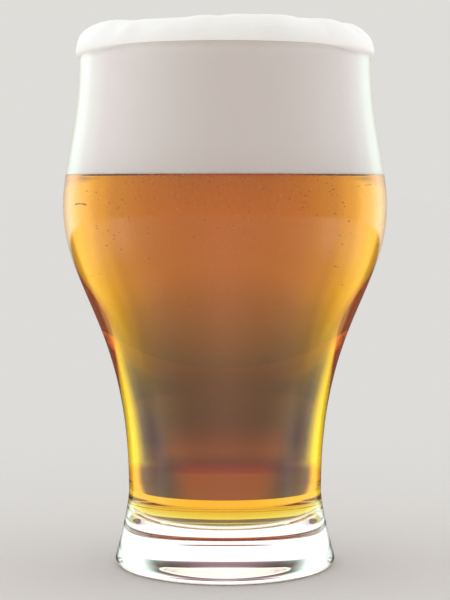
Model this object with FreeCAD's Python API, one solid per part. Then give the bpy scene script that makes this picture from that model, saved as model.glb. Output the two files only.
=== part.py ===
"""A pint of beer in its glass: the tulip glass, the beer in it and the head of foam.

Millimetres, +Z up.  The origin is the middle of the glass's resting face, on its axis.
The three pieces touch face to face: the beer fills the glass to its level, and the foam
stands on the beer, fills the glass to the rim and domes over it.
"""
import FreeCAD, Part
import math
import os

# ---- Driving dimensions ------------------------------------------------------------
# Outside of the glass: four rings, each with its own height and radius.
RIM_HEIGHT = 149.0
RIM_RADIUS = 42.1
BULGE_HEIGHT = 104.9
BULGE_RADIUS = 47.0
WAIST_HEIGHT = 21.7
WAIST_RADIUS = 28.2
FOOT_RADIUS = 32.2
FOOT_EDGE = 1.7            # rounding under the foot, and the height of its widest ring

# How long the wall stays upright beside each ring, as a share of the rise to the next.
RIM_UPRIGHT = 0.46         # below the rim
BULGE_UPRIGHT_ABOVE = 0.26
BULGE_UPRIGHT_BELOW = 0.31
WAIST_UPRIGHT_ABOVE = 0.60
WAIST_UPRIGHT_BELOW = 0.25

# Inside and underside of the glass.
WALL = 2.3                 # wall, measured across; the lip is half-round
FLOOR_HEIGHT = 13.4        # thickness of the heavy base
FLOOR_CORNER = 6.5         # rounding where the inner floor meets the wall
PUNT_RADIUS = 23.0         # hollow under the base
PUNT_DEPTH = 1.2

# Drink and foam.
HEAD_DEPTH = 35.6          # foam inside the glass, from the rim down to the beer
DOME_HEIGHT = 7.6          # foam standing above the rim
DOME_OVERHANG = 0.7        # foam's widest ring, outside the rim
DOME_DROP = 2.2            # foam hanging below the rim, outside
EDGE_FULLNESS = 8.0        # how square the dome's shoulder is
CROWN_FULLNESS = 2.8       # how steeply the dome rises from its widest ring
DOME_MIDDLE = 0.1          # flat middle of the dome, as a share of its radius

# Unevenness of the dome: (waves round the glass, start in degrees, height in mm).
DOME_SWELLS = ((2, 0.0, 0.34), (3, 70.0, 0.12), (5, 200.0, 0.10), (9, 35.0, 0.05))

# Net of rings and points that the dome is worked out from.
LIP_SECTIONS = 3
DOME_SECTIONS = 10
POINTS_ROUND = 30

AXIS_FOOT = FreeCAD.Vector(0, 0, 0)
UP = FreeCAD.Vector(0, 0, 1)


def at(radius, height):
    """A point of an outline, in the plane of the axis."""
    return FreeCAD.Vector(radius, 0, height)


def line(start, end):
    return Part.LineSegment(start, end).toShape()


def arc(start, middle, end):
    return Part.Arc(start, middle, end).toShape()


def swell(low, low_upright, high, high_upright):
    """One sweep of the wall between two rings, upright at both of them."""
    rise = high.z - low.z
    curve = Part.BezierCurve()
    curve.setPoles([low, low + UP * (rise * low_upright), high - UP * (rise * high_upright), high])
    return curve.toShape()


def quarter(centre_radius, centre_height, size, quadrant):
    """A rounded corner: a quarter circle that starts at quadrant x 90 degrees."""
    points = []
    for step in (0.0, 0.5, 1.0):
        angle = math.radians(90 * (quadrant + step))
        points.append(at(centre_radius + size * math.cos(angle), centre_height + size * math.sin(angle)))
    return arc(*points)


def turned(edges):
    """The solid that a closed outline sweeps round the axis."""
    face = Part.Face(Part.Wire(edges))
    return face.revolve(AXIS_FOOT, UP, 360)


def lip_height():
    """Where the half-round lip begins."""
    return RIM_HEIGHT - WALL / 2


def inner_wall():
    """Inside of the glass from the middle of its floor up to the lip, as edges."""
    bore = WAIST_RADIUS - WALL
    corner_top = FLOOR_HEIGHT + FLOOR_CORNER
    waist = at(bore, max(WAIST_HEIGHT, corner_top + WALL))
    bulge = at(BULGE_RADIUS - WALL, BULGE_HEIGHT)
    rim = at(RIM_RADIUS - WALL, lip_height())
    return [
        line(at(0, FLOOR_HEIGHT), at(bore - FLOOR_CORNER, FLOOR_HEIGHT)),
        quarter(bore - FLOOR_CORNER, corner_top, FLOOR_CORNER, 3),
        line(at(bore, corner_top), waist),
        swell(waist, WAIST_UPRIGHT_ABOVE, bulge, BULGE_UPRIGHT_BELOW),
        swell(bulge, BULGE_UPRIGHT_ABOVE, rim, RIM_UPRIGHT),
    ]


def outer_wall():
    """Outside of the glass from the foot's widest ring up to the lip, as edges."""
    foot = at(FOOT_RADIUS, FOOT_EDGE)
    waist = at(WAIST_RADIUS, WAIST_HEIGHT)
    bulge = at(BULGE_RADIUS, BULGE_HEIGHT)
    rim = at(RIM_RADIUS, lip_height())
    return [
        swell(foot, 0.0, waist, WAIST_UPRIGHT_BELOW),
        swell(waist, WAIST_UPRIGHT_ABOVE, bulge, BULGE_UPRIGHT_BELOW),
        swell(bulge, BULGE_UPRIGHT_ABOVE, rim, RIM_UPRIGHT),
    ]


def underside():
    """Hollow, resting face and rounded edge of the foot, from the axis outwards."""
    sphere = (PUNT_RADIUS ** 2 + PUNT_DEPTH ** 2) / (2 * PUNT_DEPTH)
    half_way = PUNT_RADIUS / 2
    half_depth = PUNT_DEPTH - sphere + math.sqrt(sphere ** 2 - half_way ** 2)
    resting_edge = FOOT_RADIUS - FOOT_EDGE
    return [
        arc(at(0, PUNT_DEPTH), at(half_way, half_depth), at(PUNT_RADIUS, 0)),
        line(at(PUNT_RADIUS, 0), at(resting_edge, 0)),
        quarter(resting_edge, FOOT_EDGE, FOOT_EDGE, 3),
    ]


def make_glass():
    """One turned solid: heavy base, waist, bulging bowl and half-round lip."""
    lip = arc(
        at(RIM_RADIUS, lip_height()),
        at(RIM_RADIUS - WALL / 2, RIM_HEIGHT),
        at(RIM_RADIUS - WALL, lip_height()),
    )
    axis = line(at(0, FLOOR_HEIGHT), at(0, PUNT_DEPTH))
    return turned(underside() + outer_wall() + [lip] + inner_wall()[::-1] + [axis])


def make_cavity():
    """The room inside the glass, from its floor to the foot of the lip."""
    top = line(at(RIM_RADIUS - WALL, lip_height()), at(0, lip_height()))
    axis = line(at(0, lip_height()), at(0, FLOOR_HEIGHT))
    return turned(inner_wall() + [top, axis])


def below_level():
    """A plain cylinder, wider than the glass, up to the level of the beer."""
    return Part.makeCylinder(BULGE_RADIUS + WALL, RIM_HEIGHT - HEAD_DEPTH)


def unevenness(turn):
    """Height of the swells of the foam at one place round the glass."""
    return sum(size * math.cos(waves * turn + math.radians(start)) for waves, start, size in DOME_SWELLS)


def lip_ring(share):
    """Foam outside the rim: from inside the lip out to the dome's widest ring."""
    angle = share * math.pi / 2
    middle_of_lip = RIM_RADIUS - WALL / 2
    radius = middle_of_lip + (WALL / 2 + DOME_OVERHANG) * math.sin(angle)
    return radius, RIM_HEIGHT - DOME_DROP * math.cos(angle), 0.0


def dome_ring(share):
    """Foam above the rim: from its widest ring to the edge of its flat middle."""
    inwards = 1 - (1 - DOME_MIDDLE) * share ** 3
    radius = (RIM_RADIUS + DOME_OVERHANG) * inwards
    rise = (1 - inwards ** EDGE_FULLNESS) ** (1 / CROWN_FULLNESS)
    lumpiness = rise * max(inwards - 2 * DOME_MIDDLE, 0)
    return radius, RIM_HEIGHT + DOME_HEIGHT * rise, lumpiness


def ring_points(radius, height, lumpiness):
    """Points round the axis that rise and fall with the swells of the foam."""
    points = []
    for step in range(POINTS_ROUND):
        turn = 2 * math.pi * step / POINTS_ROUND
        lift = lumpiness * unevenness(turn)
        points.append(FreeCAD.Vector(radius * math.cos(turn), radius * math.sin(turn), height + lift))
    return points


def skin(rings):
    """A smooth surface over a net of rings, open at the first and the last one."""
    spans = len(rings) - 3
    surface = Part.BSplineSurface()
    surface.buildFromPolesMultsKnots(
        rings,
        [4] + [1] * (spans - 1) + [4],
        [1] * (POINTS_ROUND + 1),
        list(range(spans + 1)),
        list(range(POINTS_ROUND + 1)),
        False,
        True,
        3,
        3,
    )
    return surface, spans


def make_dome():
    """The foam above the rim and hanging just outside it, closed underneath."""
    rings = [lip_ring(step / LIP_SECTIONS) for step in range(LIP_SECTIONS)]
    rings += [dome_ring(step / DOME_SECTIONS) for step in range(DOME_SECTIONS + 1)]
    surface, spans = skin([ring_points(*ring) for ring in rings])
    faces = [surface.toShape()]
    for end in (0, spans):
        faces.append(Part.Face(Part.Wire(surface.uIso(end).toShape())))
    shell = Part.makeShell(faces)
    shell.sewShape()
    return Part.makeSolid(shell)


def make_pieces():
    glass = make_glass()
    cavity = make_cavity()
    beer = cavity.common(below_level())
    foam = cavity.cut(below_level()).fuse(make_dome()).cut(glass)
    return {"glass": glass, "beer": beer, "foam": foam}


os.makedirs("parts", exist_ok=True)
for name, shape in make_pieces().items():
    solid = shape.Solids[0]
    solid.exportStep("parts/" + name + ".step")
    box = solid.BoundBox
    print(name, len(shape.Solids), solid.isValid(), round(solid.Volume / 1000, 2), "ml",
          [round(v, 2) for v in (box.XMin, box.YMin, box.ZMin, box.XMax, box.YMax, box.ZMax)])
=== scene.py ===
"""A pint of beer in its glass: glass, beer, bubbles and a domed head of foam."""
import math
import random

import bmesh
import bpy
import numpy as np
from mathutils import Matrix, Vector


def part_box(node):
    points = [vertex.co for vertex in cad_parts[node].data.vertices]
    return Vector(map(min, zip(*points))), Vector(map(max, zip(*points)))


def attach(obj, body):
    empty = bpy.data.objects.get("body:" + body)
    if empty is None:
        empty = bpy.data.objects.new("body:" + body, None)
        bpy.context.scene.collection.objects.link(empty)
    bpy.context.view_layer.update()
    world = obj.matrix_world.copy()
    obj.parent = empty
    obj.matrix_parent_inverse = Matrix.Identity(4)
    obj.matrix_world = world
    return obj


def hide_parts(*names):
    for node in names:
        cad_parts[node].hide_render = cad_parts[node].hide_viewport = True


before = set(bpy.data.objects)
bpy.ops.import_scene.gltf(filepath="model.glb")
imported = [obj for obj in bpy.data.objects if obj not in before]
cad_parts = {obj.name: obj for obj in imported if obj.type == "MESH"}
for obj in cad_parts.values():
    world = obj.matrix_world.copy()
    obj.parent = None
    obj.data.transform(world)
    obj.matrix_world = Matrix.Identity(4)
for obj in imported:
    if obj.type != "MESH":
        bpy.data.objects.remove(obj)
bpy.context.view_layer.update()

MM = 0.001
BODY = "root"
SEED = 7

# Camera.
LENS = 103.0                     # mm
SENSOR_WIDTH = 36.0              # mm
CAMERA_DISTANCE = 501.0 * MM
CAMERA_HEIGHT = 108.4 * MM
CAMERA_TILT = 3.56               # degrees down
NEAREST_SEEN = 10 * MM

# Pieces.
SEGMENTS = 200            # round the axis
FINER = 4                 # points added to each stretch of an outline
SEAT = 0.35 * MM          # how far the beer and the foam reach into the wall
DIGITS = 7                # decimals of a metre that tell two points of an outline apart
WETTED_BELOW_FLOOR = 1 * MM      # the wetted inside of the glass starts this far below its floor
DRY_LIP = 2 * MM          # and ends this far below the rim
FACES_UP = 0.7            # a face looks upwards if its normal rises more than this
LEVEL_MARGIN = 0.05 * MM  # the side of the beer ends this far below its level
WHITE = (1.0, 1.0, 1.0)
BLACK = (0.0, 0.0, 0.0)


# ---- Outlines read from the CAD ------------------------------------------------------
def outline(node):
    """Half outline of a turned CAD piece, from its lowest to its last point, as (radius, height)."""
    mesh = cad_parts[node].data
    where = {}
    for v in mesh.vertices:
        if abs(v.co.y) < 10 ** -DIGITS and v.co.x > -10 ** -DIGITS:
            where[v.index] = (round(max(v.co.x, 0.0), DIGITS), round(v.co.z, DIGITS))
    near = {}
    for edge in mesh.edges:
        a, b = (where.get(i) for i in edge.vertices)
        if a and b and a != b:
            near.setdefault(a, set()).add(b)
            near.setdefault(b, set()).add(a)
    chain = [min((p for p in near if len(near[p]) == 1), key=lambda p: p[1])]
    while ahead := [p for p in near[chain[-1]] if p not in chain]:
        chain.append(min(ahead, key=lambda p: math.dist(p, chain[-1])))
    if chain[0][0] > 0:
        chain.insert(0, (0.0, chain[0][1]))
    if chain[-1][0] > 0:
        chain.append((0.0, chain[-1][1]))
    return chain


def finer(points, steps=FINER):
    """The same outline on a smooth curve through its points (centripetal Catmull-Rom)."""
    pts = [np.array(p) for p in points]
    low, high = np.min(pts, axis=0), np.max(pts, axis=0)
    pts = [2 * pts[0] - pts[1]] + pts + [2 * pts[-1] - pts[-2]]
    made = []
    for a, b, c, d in zip(pts, pts[1:], pts[2:], pts[3:]):
        t1, t2, t3 = np.cumsum([math.sqrt(np.linalg.norm(q - p)) for p, q in ((a, b), (b, c), (c, d))])
        for step in range(steps):
            t = t1 + (t2 - t1) * step / steps
            ab = (a * (t1 - t) + b * t) / t1
            bc = (b * (t2 - t) + c * (t - t1)) / (t2 - t1)
            cd = (c * (t3 - t) + d * (t - t2)) / (t3 - t2)
            abc = (ab * (t2 - t) + bc * t) / t2
            bcd = (bc * (t3 - t) + cd * (t - t1)) / (t3 - t1)
            made.append((abc * (t2 - t) + bcd * (t - t1)) / (t2 - t1))
    made.append(pts[-2])
    return [tuple(float(v) for v in np.clip(place, low, high)) for place in made]


# ---- Meshes ----------------------------------------------------------------------------
def new_object(name, vertices, faces):
    mesh = bpy.data.meshes.new(name)
    mesh.from_pydata(vertices, [], faces)
    mesh.validate()
    for polygon in mesh.polygons:
        polygon.use_smooth = True
    obj = bpy.data.objects.new(name, mesh)
    bpy.context.scene.collection.objects.link(obj)
    return obj


def ring_faces(rings, segments):
    """Faces of a closed mesh: a first point, rings of points, and a last point."""
    last = 1 + rings * segments
    top = last - segments
    faces = []
    for k in range(segments):
        after = (k + 1) % segments
        faces.append((0, 1 + after, 1 + k))
        faces.append((top + k, top + after, last))
        for low in range(1, top, segments):
            faces.append((low + k, low + after, low + segments + after, low + segments + k))
    return faces


def turned(name, points):
    """A closed mesh swept round the axis. The outline starts and ends on the axis."""
    vertices = [(0.0, 0.0, points[0][1])]
    for r, z in points[1:-1]:
        for k in range(SEGMENTS):
            turn = 2 * math.pi * k / SEGMENTS
            vertices.append((r * math.cos(turn), r * math.sin(turn), z))
    vertices.append((0.0, 0.0, points[-1][1]))
    return new_object(name, vertices, ring_faces(len(points) - 2, SEGMENTS))


def make_glass():
    """The glass. Its inside, which the drink and the foam touch, has a second material."""
    obj = turned("glass_body", finer(outline("glass")))
    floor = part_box("beer")[0].z - WETTED_BELOW_FLOOR
    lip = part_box("glass")[1].z - DRY_LIP
    for face in obj.data.polygons:
        inwards = face.normal.x * face.center.x + face.normal.y * face.center.y < 0
        upwards = face.normal.z > FACES_UP
        if floor < face.center.z < lip and (inwards or upwards):
            face.material_index = 1
    obj.data.materials.append(glass_material("clear_glass"))
    obj.data.materials.append(glass_material("wetted_glass", BLACK))
    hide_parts("glass")
    return obj


def into_wall(points, seat):
    """An outline moved outwards along its normals."""
    moved = []
    for i, (r, z) in enumerate(points):
        before = points[max(i - 1, 0)]
        after = points[min(i + 1, len(points) - 1)]
        along = np.array(after) - np.array(before)
        along = along / np.linalg.norm(along)
        moved.append((max(r + along[1] * seat, 0.0) if r > 0 else 0.0, z - along[0] * seat))
    return moved


def make_beer():
    """The drink, up to its level, pressed a little into the wall and into the foam."""
    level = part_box("beer")[1].z
    side = into_wall(finer(outline("beer")[:-1]), SEAT)
    side = [p for p in side if p[1] < level - LEVEL_MARGIN]
    edge = side[-1][0]
    top = [(r, level + SEAT) for r in (edge - 3 * SEAT, edge / 2, 0.0)]
    obj = turned("beer_body", side + [(edge, level)] + top)
    obj.data.materials.append(beer_material())
    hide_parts("beer")
    return obj


# ---- Foam --------------------------------------------------------------------------------
FOAM_SEGMENTS = 384
UNDERSIDE_RINGS = (0.3, 0.7)  # of the flat underside, as shares of its radius
LIP_FOOT = 1.2 * MM           # how far below the rim the glass's rounded lip begins
LIP_RINGS = 8
LIP_COVER = 0.45              # share of the lip that is covered where nothing spills
CROWN_RINGS = 90
CROWN_CROWDING = 2.2          # how closely the rings crowd towards the edge
CROWN_HEIGHT = 6.95 * MM      # above the rim, before the lumps
SHOULDER = 0.18               # width of the rounded shoulder, as a share of the radius
SHOULDER_FULLNESS = 1.75      # how full the shoulder is (2 = a quarter ellipse)
OVERHANG = 0.95 * MM          # how far it bulges out over the rim where it spills
SPILL_DROP = 1.9 * MM         # how far it hangs down there
SPILL_FROM, SPILL_FULL = 0.50, 0.97    # where the spill begins and is full, as |x| / radius
BACK_SPILL, BACK_SWELL = 0.45, 0.35    # spill round the back, and how much it comes and goes
BACK_WAVES, BACK_START = 5, 0.6        # number of its waves, and where they start
LEAST_SPILL = 0.04
LUMPS = 130
LUMP_PLACES = (0.12, 1.0)     # middles of the lumps, as shares of the crown's area ...
LUMP_HEIGHTS = (0.45, 1.0)    # ... and of its height
LUMP_ROUNDNESS = 1.5
LUMP_CREASE = 4               # how sharp the crease between two lumps is
LUMPS_FULL = 0.5              # share of the crown's height above which the lumps are full
LUMP_SIZE = (3.5, 11.0)       # mm from the middle of a lump to its edge
LUMP_STEEPNESS = (0.07, 0.12)  # its height, as a share of its size
SOFT_LIMIT = 0.12 * MM        # lumps flatten out this close to the foam's full height


def smooth_step(low, high, value):
    t = min(max((value - low) / (high - low), 0.0), 1.0)
    return t * t * (3 - 2 * t)


def spill(turn):
    """How much the foam spills over the rim at one place round the glass, 0 to 1."""
    aside = abs(math.cos(turn))
    spilt = smooth_step(SPILL_FROM, SPILL_FULL, aside)
    if math.sin(turn) > 0:
        spilt = max(spilt, BACK_SPILL + BACK_SWELL * math.cos(BACK_WAVES * turn + BACK_START))
    return max(spilt, LEAST_SPILL)


def foam_rings():
    """Each ring of the foam as (radius, height) at one place round the glass, from low to high."""
    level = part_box("beer")[1].z
    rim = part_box("glass")[1].z
    points = finer(outline("glass"))
    highest = max(range(len(points)), key=lambda i: points[i][1])
    lip_foot = rim - LIP_FOOT
    wall = sorted((p for p in points[highest:] if level < p[1] < lip_foot), key=lambda p: p[1])
    outer = min(points[:highest], key=lambda p: abs(p[1] - lip_foot) if p[1] > level else 1)[0]
    inner = wall[-1][0]
    middle, half = (outer + inner) / 2, (outer - inner) / 2
    underside = [share * inner for share in UNDERSIDE_RINGS] + [wall[0][0] + SEAT]
    rings = [lambda turn, r=r: (r, level) for r in underside]
    rings += [lambda turn, p=p: (p[0] + SEAT, p[1]) for p in wall]

    def lip(share):
        angle = share * math.pi / 2

        def ring(turn):
            s = spill(turn)
            out = half * (LIP_COVER + (1 - LIP_COVER) * s) + OVERHANG * s
            return middle + out * math.sin(angle), rim - SPILL_DROP * s * math.cos(angle)
        return ring

    def crown(step):
        share = 1 - (step / CROWN_RINGS) ** CROWN_CROWDING

        def ring(turn):
            edge = lip(1.0)(turn)[0]
            outwards = max(1 - (1 - share) / SHOULDER, 0.0)
            rise = (1 - outwards ** SHOULDER_FULLNESS) ** (1 / SHOULDER_FULLNESS)
            return edge * share, rim + CROWN_HEIGHT * rise
        return ring

    rings += [lip(k / LIP_RINGS) for k in range(LIP_RINGS + 1)]
    rings += [crown(k) for k in range(1, CROWN_RINGS)]
    return rings, level, rim + CROWN_HEIGHT


def swollen(vertices, normals, radius):
    """Soft lumps with creases between them, pushed out of the crown along its normals."""
    amount = np.zeros(len(vertices))
    for _ in range(LUMPS):
        turn = random.uniform(0, 2 * math.pi)
        away = radius * math.sqrt(random.uniform(*LUMP_PLACES))
        size = random.uniform(*LUMP_SIZE) * MM
        height = random.uniform(*LUMP_STEEPNESS) * size
        middle = np.array((away * math.cos(turn), away * math.sin(turn), 0.0))
        middle[2] = random.uniform(*LUMP_HEIGHTS) * CROWN_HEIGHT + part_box("glass")[1].z
        reach = np.linalg.norm(vertices - middle, axis=1) / size
        bump = height * np.clip(1 - reach ** 2, 0, 1) ** LUMP_ROUNDNESS
        amount += bump ** LUMP_CREASE
    return vertices + normals * (amount ** (1 / LUMP_CREASE))[:, None]


def make_foam():
    """Foam inside the glass down to the beer, spilling over the rim and domed above it."""
    rings, level, top = foam_rings()
    turns = [2 * math.pi * k / FOAM_SEGMENTS for k in range(FOAM_SEGMENTS)]
    vertices = [(0.0, 0.0, level)]
    for ring in rings:
        for turn in turns:
            r, z = ring(turn)
            vertices.append((r * math.cos(turn), r * math.sin(turn), z))
    vertices.append((0.0, 0.0, top))
    obj = new_object("foam_head", vertices, ring_faces(len(rings), FOAM_SEGMENTS))
    mesh = obj.data
    places = np.array([v.co for v in mesh.vertices])
    normals = np.array([v.normal for v in mesh.vertices])
    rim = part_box("glass")[1].z
    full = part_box("foam")[1]
    share = np.clip((places[:, 2] - rim) / (LUMPS_FULL * CROWN_HEIGHT), 0, 1)[:, None]
    lumpy = swollen(places, normals, full.x)
    places = places + (lumpy - places) * share
    room = (full.z - places[:, 2]) / SOFT_LIMIT
    places[:, 2] = full.z - SOFT_LIMIT * np.log1p(np.exp(room))
    mesh.vertices.foreach_set("co", places.astype(np.float32).ravel())
    mesh.update()
    mesh.materials.append(foam_material())
    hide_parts("foam")
    return obj


# ---- Bubbles -----------------------------------------------------------------------------
BUBBLES = 2300
BUBBLE_RADIUS = (0.05, 0.11)    # mm
BUBBLE_DEPTH = 9.0              # mm below the foam, on average
DEEPEST = 34.0                  # mm
BUBBLE_ASIDE = (1.1, 2.5)       # from the wall to its middle, in radii
BUBBLE_WALL_FROM = 20 * MM      # the wall is the part of the beer's outline beyond this radius


def make_bubbles():
    """Small bubbles that cling to the inside of the glass, thickest just under the foam."""
    ball = bmesh.new()
    bmesh.ops.create_icosphere(ball, subdivisions=2, radius=1.0)
    ball.verts.ensure_lookup_table()
    shape = np.array([v.co for v in ball.verts])
    triangles = np.array([[v.index for v in f.verts] for f in ball.faces])
    ball.free()
    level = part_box("beer")[1].z
    wall = np.array([p for p in outline("beer") if p[0] > BUBBLE_WALL_FROM][:-1])
    vertices, faces = [], []
    for k in range(BUBBLES):
        depth = min(random.expovariate(1 / BUBBLE_DEPTH), DEEPEST)
        size = random.uniform(*BUBBLE_RADIUS) * MM
        z = level - depth * MM - size
        turn = random.uniform(0, 2 * math.pi)
        r = np.interp(z, wall[:, 1], wall[:, 0]) - size * random.uniform(*BUBBLE_ASIDE)
        middle = np.array((r * math.cos(turn), r * math.sin(turn), z))
        vertices.append(shape * size + middle)
        faces.append(triangles + k * len(shape))
    obj = new_object("bubbles", np.concatenate(vertices).tolist(), np.concatenate(faces).tolist())
    obj.data.materials.append(bubble_material())
    return obj


# ---- Materials -----------------------------------------------------------------------------
# Two close colours that each material wanders between, and how many times in a metre.
GLASS_TINTS = ((0.98, 0.993, 0.986), (0.99, 0.997, 0.994))
GLASS_MOTTLE = 40.0
BEER_TINTS = (WHITE, (1.0, 0.985, 0.96))
BEER_MOTTLE = 60.0
BUBBLE_TINTS = ((1.0, 0.96, 0.88), (1.0, 0.88, 0.72))
BUBBLE_MOTTLE = 300.0
# How fast the drink takes away red, green and blue light, per metre, and a density above all three.
BEER_TAKES = (2.0, 17.5, 150.0)
BEER_DENSITY = 160.0
# How strongly each clear thing bends light.
GLASS_IOR = 1.5
BEER_IOR = 1.34
BUBBLE_IOR = 1.2
# Foam: seen through the glass, above the rim, and in its shaded patches.
FOAM_IN_GLASS = (0.948, 0.860, 0.818)
FOAM_ABOVE = (0.885, 0.872, 0.852)
FOAM_SHADE = (0.70, 0.64, 0.58)
FOAM_CHANGE = 2 * MM             # its colour changes over this far below and above the rim
FOAM_PATCHES, PATCH_DEPTH = 220.0, 0.05
FOAM_GRAIN, GRAIN_STRENGTH, GRAIN_DEPTH = 900.0, 0.15, 0.3 * MM
FLOOR_COLOUR = (0.656, 0.626, 0.606)


def new_material(name):
    material = bpy.data.materials.new(name)
    material.use_nodes = True
    tree = material.node_tree
    return material, tree, tree.nodes["Principled BSDF"]


def glass_material(name, specular=WHITE):
    material, tree, shader = new_material(name)
    shader.inputs["Specular Tint"].default_value = (*specular, 1)
    mottled(tree, shader, GLASS_MOTTLE, *GLASS_TINTS)
    shader.inputs["Roughness"].default_value = 0.0
    shader.inputs["IOR"].default_value = GLASS_IOR
    shader.inputs["Transmission Weight"].default_value = 1.0
    return material


def beer_material():
    material, tree, shader = new_material("amber_beer")
    mottled(tree, shader, BEER_MOTTLE, *BEER_TINTS)
    shader.inputs["Roughness"].default_value = 0.0
    shader.inputs["IOR"].default_value = BEER_IOR
    shader.inputs["Specular Tint"].default_value = (*BLACK, 1)
    shader.inputs["Transmission Weight"].default_value = 1.0
    volume = tree.nodes.new("ShaderNodeVolumeAbsorption")
    left = (1 - taken / BEER_DENSITY for taken in BEER_TAKES)
    volume.inputs["Color"].default_value = (*left, 1)
    volume.inputs["Density"].default_value = BEER_DENSITY
    tree.links.new(volume.outputs[0], tree.nodes["Material Output"].inputs["Volume"])
    return material


def noise_texture(tree, coords, scale):
    noise = tree.nodes.new("ShaderNodeTexNoise")
    noise.inputs["Scale"].default_value = scale
    tree.links.new(coords.outputs["Object"], noise.inputs["Vector"])
    return noise.outputs["Fac"]


def mottled(tree, shader, scale, one, other):
    """Let the base colour wander softly between two close colours."""
    coords = tree.nodes.new("ShaderNodeTexCoord")
    colour = blend(tree, noise_texture(tree, coords, scale), one, other)
    tree.links.new(colour, shader.inputs["Base Color"])


def foam_material():
    material, tree, shader = new_material("white_foam")
    shader.inputs["Roughness"].default_value = 0.8
    coords = tree.nodes.new("ShaderNodeTexCoord")
    axes = tree.nodes.new("ShaderNodeSeparateXYZ")
    tree.links.new(coords.outputs["Object"], axes.inputs[0])
    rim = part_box("glass")[1].z
    risen = between(tree, axes.outputs["Z"], rim - FOAM_CHANGE, rim + FOAM_CHANGE)
    colour = blend(tree, risen, FOAM_IN_GLASS, FOAM_ABOVE)
    patches = noise_texture(tree, coords, FOAM_PATCHES)
    colour = blend(tree, math_node(tree, "MULTIPLY", patches, PATCH_DEPTH), colour, FOAM_SHADE)
    tree.links.new(colour, shader.inputs["Base Color"])
    bump = tree.nodes.new("ShaderNodeBump")
    bump.inputs["Strength"].default_value = GRAIN_STRENGTH
    bump.inputs["Distance"].default_value = GRAIN_DEPTH
    tree.links.new(noise_texture(tree, coords, FOAM_GRAIN), bump.inputs["Height"])
    tree.links.new(bump.outputs["Normal"], shader.inputs["Normal"])
    return material


def bubble_material():
    material, tree, shader = new_material("bubble")
    mottled(tree, shader, BUBBLE_MOTTLE, *BUBBLE_TINTS)
    shader.inputs["Roughness"].default_value = 0.5
    shader.inputs["IOR"].default_value = BUBBLE_IOR
    shader.inputs["Alpha"].default_value = 0.85
    return material


def floor_material():
    material, tree, shader = new_material("pale_floor")
    shader.inputs["Base Color"].default_value = (*FLOOR_COLOUR, 1)
    shader.inputs["Roughness"].default_value = 0.7
    shader.inputs["Specular IOR Level"].default_value = 0.0
    return material


# ---- Stage -------------------------------------------------------------------------------
# Brightness of the room round the object, by the angle from straight behind it (plus = right).
ROOM = (
    (-180, (1.00, 0.98, 0.96)),
    (-110, (1.00, 1.00, 1.00)),
    (-80, (0.90, 0.90, 0.90)),
    (-60, (1.18, 1.42, 1.30)),
    (-40, (1.55, 2.05, 1.80)),
    (-34, (1.35, 1.75, 1.50)),
    (-26, (0.98, 1.18, 1.00)),
    (-20, (0.72, 0.80, 0.68)),
    (-11, (0.62, 0.61, 0.58)),
    (0, (0.63, 0.60, 0.58)),
    (11, (0.62, 0.61, 0.58)),
    (20, (0.72, 0.80, 0.68)),
    (26, (0.98, 1.18, 1.00)),
    (34, (1.35, 1.75, 1.50)),
    (40, (1.55, 2.05, 1.80)),
    (60, (1.18, 1.42, 1.30)),
    (80, (0.85, 0.85, 0.85)),
    (110, (0.85, 0.85, 0.85)),
    (180, (1.00, 0.98, 0.96)),
)
BELOW = (
    (-180, (1.25, 1.24, 1.26)),
    (-115, (0.85, 0.88, 0.92)),
    (-85, (0.66, 0.68, 0.70)),
    (-65, (0.88, 0.68, 0.30)),
    (-43, (1.50, 1.20, 0.50)),
    (-33, (0.14, 0.11, 0.10)),
    (-20, (0.06, 0.05, 0.05)),
    (-8, (0.31, 0.15, 0.17)),
    (8, (0.31, 0.15, 0.17)),
    (20, (0.06, 0.05, 0.05)),
    (33, (0.14, 0.11, 0.10)),
    (43, (1.50, 1.20, 0.50)),
    (65, (0.88, 0.68, 0.30)),
    (85, (0.66, 0.68, 0.70)),
    (115, (0.85, 0.88, 0.92)),
    (180, (1.25, 1.24, 1.26)),
)
# Light that reaches the foam and the floor: dim and warm in front, bright at the sides.
SOFT = (
    (-180, (0.56, 0.495, 0.45)),
    (-140, (0.88, 0.85, 0.82)),
    (-95, (2.60, 2.90, 3.10)),
    (-50, (2.15, 2.35, 2.50)),
    (0, (1.20, 1.20, 1.20)),
    (50, (2.05, 2.25, 2.40)),
    (92, (2.40, 2.65, 2.85)),
    (130, (0.80, 0.75, 0.71)),
    (180, (0.56, 0.495, 0.45)),
)
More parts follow.
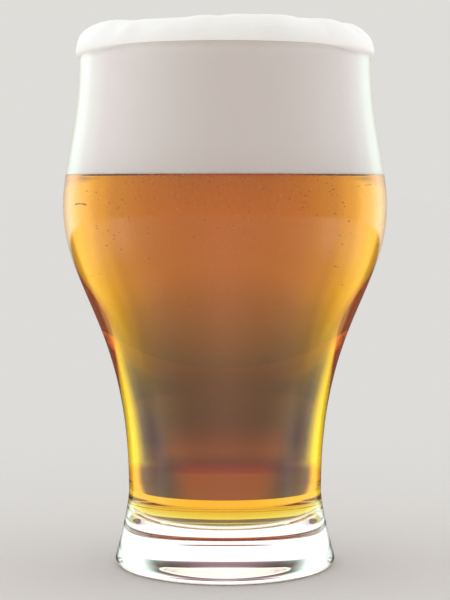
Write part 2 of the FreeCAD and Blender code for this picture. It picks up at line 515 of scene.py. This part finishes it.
# Low light that only mirrors in the glass: shallow reflections, then steep ones.
MIRRORED = (
    (-180, (1.25, 1.24, 1.26)),
    (-145, (1.10, 1.10, 1.10)),
    (-115, (1.35, 1.35, 1.35)),
    (-100, (1.85, 1.85, 1.85)),
    (-85, (1.30, 1.30, 1.30)),
    (-70, (1.35, 1.35, 1.35)),
    (-55, (1.40, 1.25, 0.80)),
    (-43, (1.50, 1.20, 0.50)),
    (-33, (0.14, 0.11, 0.10)),
    (33, (0.14, 0.11, 0.10)),
    (43, (1.50, 1.20, 0.50)),
    (55, (1.40, 1.25, 0.80)),
    (70, (1.35, 1.35, 1.35)),
    (85, (1.30, 1.30, 1.30)),
    (100, (1.85, 1.85, 1.85)),
    (115, (1.35, 1.35, 1.35)),
    (145, (1.10, 1.10, 1.10)),
    (180, (1.25, 1.24, 1.26)),
)
MIRRORED_STEEP = (
    (-180, (1.25, 1.24, 1.26)),
    (-135, (1.00, 1.00, 1.00)),
    (-115, (1.10, 1.10, 1.10)),
    (-100, (0.95, 0.95, 0.95)),
    (-85, (0.65, 0.65, 0.65)),
    (-60, (0.40, 0.35, 0.20)),
    (60, (0.40, 0.35, 0.20)),
    (85, (0.65, 0.65, 0.65)),
    (100, (0.95, 0.95, 0.95)),
    (115, (1.10, 1.10, 1.10)),
    (135, (1.00, 1.00, 1.00)),
    (180, (1.25, 1.24, 1.26)),
)
OVERHEAD = (1.25, 1.25, 1.23)
ZENITH = (0.78, 0.78, 0.76)    # straight above, dimmer, so that the top of the foam keeps its shape
BACKDROP = (0.738, 0.723, 0.694)
# Where one light gives way to the next, as the sine of the angle above the horizon.
STEEP_FROM, STEEP_FULL = -0.26, -0.54
BELOW_UP_TO, ROOM_FROM = -0.128, -0.093
ROOM_UP_TO, OVERHEAD_FROM = 0.34, 0.46
SOFT_UP_TO, SOFT_OVERHEAD_FROM = 0.3, 0.8
ZENITH_BEGINS, ZENITH_FULL = 0.6, 0.9


def ramp(tree, value, stops, easing="EASE"):
    """A colour ramp from (place, colour) stops."""
    node = tree.nodes.new("ShaderNodeValToRGB")
    node.color_ramp.interpolation = easing
    elements = node.color_ramp.elements
    for i, (place, colour) in enumerate(stops):
        element = elements[i] if i < 2 else elements.new(place)
        element.position = place
        element.color = (*colour, 1)
    tree.links.new(value, node.inputs["Fac"])
    return node.outputs["Color"]


def math_node(tree, operation, *values):
    node = tree.nodes.new("ShaderNodeMath")
    node.operation = operation
    for socket, value in zip(node.inputs, values):
        if isinstance(value, (int, float)):
            socket.default_value = value
        else:
            tree.links.new(value, socket)
    return node.outputs[0]


def between(tree, value, low, high):
    """0 below low, 1 above high, and a smooth rise in between."""
    node = tree.nodes.new("ShaderNodeMapRange")
    node.interpolation_type = "SMOOTHSTEP"
    tree.links.new(value, node.inputs["Value"])
    node.inputs["From Min"].default_value = low
    node.inputs["From Max"].default_value = high
    return node.outputs["Result"]


def blend(tree, share, a, b):
    """Colour a where share is 0 and colour b where it is 1."""
    node = tree.nodes.new("ShaderNodeMix")
    node.data_type = "RGBA"
    tree.links.new(share, node.inputs["Factor"])
    for socket, colour in ((node.inputs[6], a), (node.inputs[7], b)):
        if isinstance(colour, tuple):
            socket.default_value = (*colour, 1)
        else:
            tree.links.new(colour, socket)
    return node.outputs[2]


def make_world():
    """The studio: dim straight behind, bright lights at the back sides, softer in front."""
    world = bpy.data.worlds.new("studio")
    world.use_nodes = True
    bpy.context.scene.world = world
    tree = world.node_tree
    light = tree.nodes["Background"]
    coords = tree.nodes.new("ShaderNodeTexCoord")
    axes = tree.nodes.new("ShaderNodeSeparateXYZ")
    tree.links.new(coords.outputs["Generated"], axes.inputs[0])
    turn = math_node(tree, "ARCTAN2", axes.outputs["X"], axes.outputs["Y"])
    share = math_node(tree, "ADD", math_node(tree, "DIVIDE", turn, 2 * math.pi), 0.5)
    room, below, soft, mirrored, steep = (
        ramp(tree, share, [((angle + 180) / 360, colour) for angle, colour in stops])
        for stops in (ROOM, BELOW, SOFT, MIRRORED, MIRRORED_STEEP)
    )
    rise = axes.outputs["Z"]
    path = tree.nodes.new("ShaderNodeLightPath")
    mirrored = blend(tree, between(tree, rise, STEEP_FROM, STEEP_FULL), mirrored, steep)
    below = blend(tree, path.outputs["Is Reflection Ray"], below, mirrored)
    lit = blend(tree, between(tree, rise, BELOW_UP_TO, ROOM_FROM), below, room)
    lit = blend(tree, between(tree, rise, ROOM_UP_TO, OVERHEAD_FROM), lit, OVERHEAD)
    soft = blend(tree, between(tree, rise, SOFT_UP_TO, SOFT_OVERHEAD_FROM), soft, OVERHEAD)
    soft = blend(tree, between(tree, rise, ZENITH_BEGINS, ZENITH_FULL), soft, ZENITH)
    lit = blend(tree, math_node(tree, "MINIMUM", path.outputs["Diffuse Depth"], 1.0), lit, soft)
    colour = blend(tree, path.outputs["Is Camera Ray"], lit, BACKDROP)
    tree.links.new(colour, light.inputs["Color"])


def seen_by(obj, **rays):
    """Keep a stage piece out of every kind of ray but the ones named."""
    for kind in ("camera", "diffuse", "glossy", "transmission", "volume_scatter", "shadow"):
        setattr(obj, "visible_" + kind, rays.get(kind, False))


def upright_card(name, half, back, low, high, material):
    """An upright card behind the glass, sizes in mm, that only light through the glass meets."""
    corners = ((-half, low), (half, low), (half, high), (-half, high))
    obj = new_object(name, [(x * MM, back * MM, z * MM) for x, z in corners], [(0, 1, 2, 3)])
    obj.data.materials.append(material)
    seen_by(obj, transmission=True)


def bare_material(name):
    """A stage material with nothing in it but its output."""
    material, tree, shader = new_material(name)
    tree.nodes.remove(shader)
    return material, tree, tree.nodes["Material Output"].inputs["Surface"]


# The graded strip: height in mm and how much light it takes away there ...
STRIP = (
    (20, 0.00),
    (25, 0.88),
    (33, 0.98),
    (42, 0.96),
    (50, 0.93),
    (59, 0.89),
    (67, 0.78),
    (76, 0.65),
    (83, 0.53),
    (89, 0.40),
    (96, 0.15),
    (103, 0.12),
    (108, 0.26),
    (114, 0.36),
)
# ... and the share of that by the distance aside, in mm.
STRIP_ASIDE = (
    (0, 0.88),
    (4, 1.00),
    (8, 0.95),
    (11, 0.65),
    (15, 0.30),
    (21, 0.00),
)
STRIP_BACK = 60.0
STRIP_SLIT = 0.22              # how much less it takes in its middle, low down ...
SLIT_HALF = 2.6                # ... within this distance aside
SLIT_LOW, SLIT_HIGH = 28.0, 44.0       # the slit fades out between these heights
STRIP_LOW = (1.0, 0.55, 0.65)  # what its low middle lets through
STRIP_NARROW = 0.40            # how much sooner it fades out aside at the top ...
NARROW_FROM, NARROW_FULL = 66.0, 96.0  # ... which begins and is full at these heights
LOW_UP_TO, LOW_FULL = 46.0, 32.0       # the low middle ends and is full at these heights ...
LOW_HALF, LOW_FULL_HALF = 9.0, 3.0     # ... and at these distances aside


def shade_card():
    """A graded grey strip just behind the glass, that only light through the glass meets."""
    material, tree, surface = bare_material("graded_strip")
    coords = tree.nodes.new("ShaderNodeTexCoord")
    axes = tree.nodes.new("ShaderNodeSeparateXYZ")
    tree.links.new(coords.outputs["Object"], axes.inputs[0])
    x, z = (math_node(tree, "MULTIPLY", axes.outputs[k], 1 / MM) for k in "XZ")
    filter_node = tree.nodes.new("ShaderNodeBsdfTransparent")
    top, wide = STRIP[-1][0], STRIP_ASIDE[-1][0]
    height = math_node(tree, "DIVIDE", z, top)
    off = math_node(tree, "ABSOLUTE", x)
    narrowing = math_node(tree, "MULTIPLY_ADD", between(tree, z, NARROW_FROM, NARROW_FULL), STRIP_NARROW, 1.0)
    aside = math_node(tree, "DIVIDE", math_node(tree, "MULTIPLY", off, narrowing), wide)
    by_height = ramp(tree, height, [(h / top, (g, g, g)) for h, g in STRIP], "LINEAR")
    by_side = ramp(tree, aside, [(h / wide, (g, g, g)) for h, g in STRIP_ASIDE], "LINEAR")
    slit_aside = between(tree, off, SLIT_HALF, 0.0)
    slit = math_node(tree, "MULTIPLY", slit_aside, between(tree, z, SLIT_HIGH, SLIT_LOW))
    left = math_node(tree, "MULTIPLY_ADD", slit, -STRIP_SLIT, 1.0)
    taken = math_node(tree, "MULTIPLY", math_node(tree, "MULTIPLY", by_height, by_side), left)
    low_aside = between(tree, off, LOW_HALF, LOW_FULL_HALF)
    low = math_node(tree, "MULTIPLY", between(tree, z, LOW_UP_TO, LOW_FULL), low_aside)
    clear = blend(tree, low, WHITE, STRIP_LOW)
    tree.links.new(blend(tree, taken, clear, BLACK), filter_node.inputs["Color"])
    tree.links.new(filter_node.outputs[0], surface)
    upright_card("shade_strip", wide, STRIP_BACK, STRIP[0][0], top, material)


# The card behind the foot, in mm, and its brightness.
CARD_HALF, CARD_BACK, CARD_LOW, CARD_HIGH = 80.0, 34.0, -2.0, 13.2
CARD_LIGHT = 1.2
# The floor, in metres, and the bright disc that lies just under it, below the foot.
FLOOR_RADIUS, FLOOR_LEVEL = 30.0, -0.1 * MM
GLOW_RADIUS, GLOW_LEVEL = 51 * MM, -0.2 * MM
GLOW_LIGHT = 1.1
DISC_SEGMENTS = 96


def glow(name, strength):
    material, tree, surface = bare_material(name)
    light = tree.nodes.new("ShaderNodeEmission")
    light.inputs["Color"].default_value = (*WHITE, 1)
    light.inputs["Strength"].default_value = strength
    tree.links.new(light.outputs[0], surface)
    return material


def make_foot_card():
    """A low white card behind the foot."""
    upright_card("foot_card", CARD_HALF, CARD_BACK, CARD_LOW, CARD_HIGH, glow("white_card", CARD_LIGHT))


def disc(name, radius, height, material):
    corners = []
    for k in range(DISC_SEGMENTS):
        turn = 2 * math.pi * k / DISC_SEGMENTS
        corners.append((radius * math.cos(turn), radius * math.sin(turn), height))
    obj = new_object(name, corners, [tuple(range(DISC_SEGMENTS))])
    obj.data.materials.append(material)
    return obj


def make_floor():
    """The pale floor, and a bright disc below the foot that only light through the glass meets."""
    floor = disc("floor", FLOOR_RADIUS, FLOOR_LEVEL, floor_material())
    floor.visible_transmission = False
    floor.visible_glossy = False
    near = disc("floor_near", GLOW_RADIUS, GLOW_LEVEL, glow("floor_glow", GLOW_LIGHT))
    seen_by(near, transmission=True)


def make_camera():
    data = bpy.data.cameras.new("camera")
    data.lens = LENS
    data.sensor_width = SENSOR_WIDTH
    data.clip_start = NEAREST_SEEN
    obj = bpy.data.objects.new("camera", data)
    obj.location = (0, -CAMERA_DISTANCE, CAMERA_HEIGHT)
    obj.rotation_euler = (math.radians(90 - CAMERA_TILT), 0, 0)
    bpy.context.scene.collection.objects.link(obj)
    bpy.context.scene.camera = obj


def set_light_paths():
    """Enough bounces for light to cross glass, drink and bubbles and come out again."""
    scene = bpy.context.scene
    scene.view_settings.view_transform = "Standard"
    scene.cycles.use_denoising = True
    scene.cycles.max_bounces = 24
    scene.cycles.transmission_bounces = 24
    scene.cycles.diffuse_bounces = 8
    scene.cycles.glossy_bounces = 12


random.seed(SEED)
make_camera()
make_world()
make_floor()
shade_card()
make_foot_card()
for piece, slot in (
    (make_glass(), "glass"),
    (make_beer(), "beer"),
    (make_foam(), "foam"),
    (make_bubbles(), "beer"),
):
    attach(piece, BODY)
set_light_paths()
